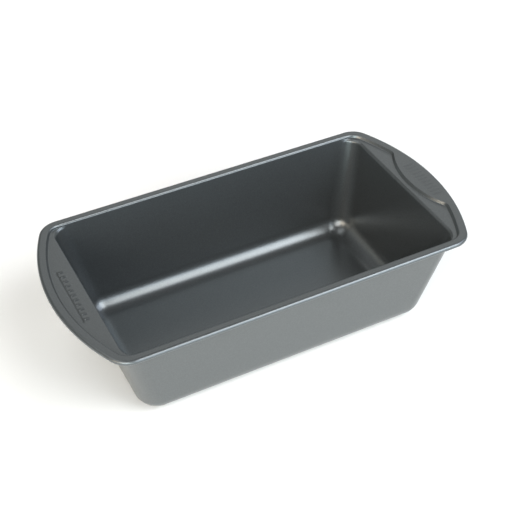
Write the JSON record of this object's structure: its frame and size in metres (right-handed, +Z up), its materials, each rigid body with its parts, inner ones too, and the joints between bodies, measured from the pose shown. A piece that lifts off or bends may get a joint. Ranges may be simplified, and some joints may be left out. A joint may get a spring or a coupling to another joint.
{
  "type": "loaf pan",
  "caption": "Rectangular steel loaf pan with drafted walls, a curled rim, a recessed ledge and a wide grip at each end; holds dough or batter while it bakes.",
  "frame": {"origin": "centre of the base, on the surface that the pan stands on", "axes": "+X along the pan to the end whose grip has the raised thumb rest, +Y across to a long side, +Z up out of the pan's mouth"},
  "size_m": [0.27, 0.1388, 0.07],
  "materials": {
    "bare_steel": "cold-rolled sheet steel, seen only at the cut edge inside the curl",
    "wire_steel": "plain drawn steel wire, enclosed by the curl",
    "nonstick_inside": "dark gunmetal grey non-stick film, satin, with a fine metallic grain",
    "nonstick_outside": "dark gunmetal grey baked film, satin, with a fine metallic grain"
  },
  "bodies": {
    "root": {"steel_pressing": "bare_steel", "rim_wire": "wire_steel", "inner_coating": "nonstick_inside", "outer_coating": "nonstick_outside"}
  },
  "joints": []
}
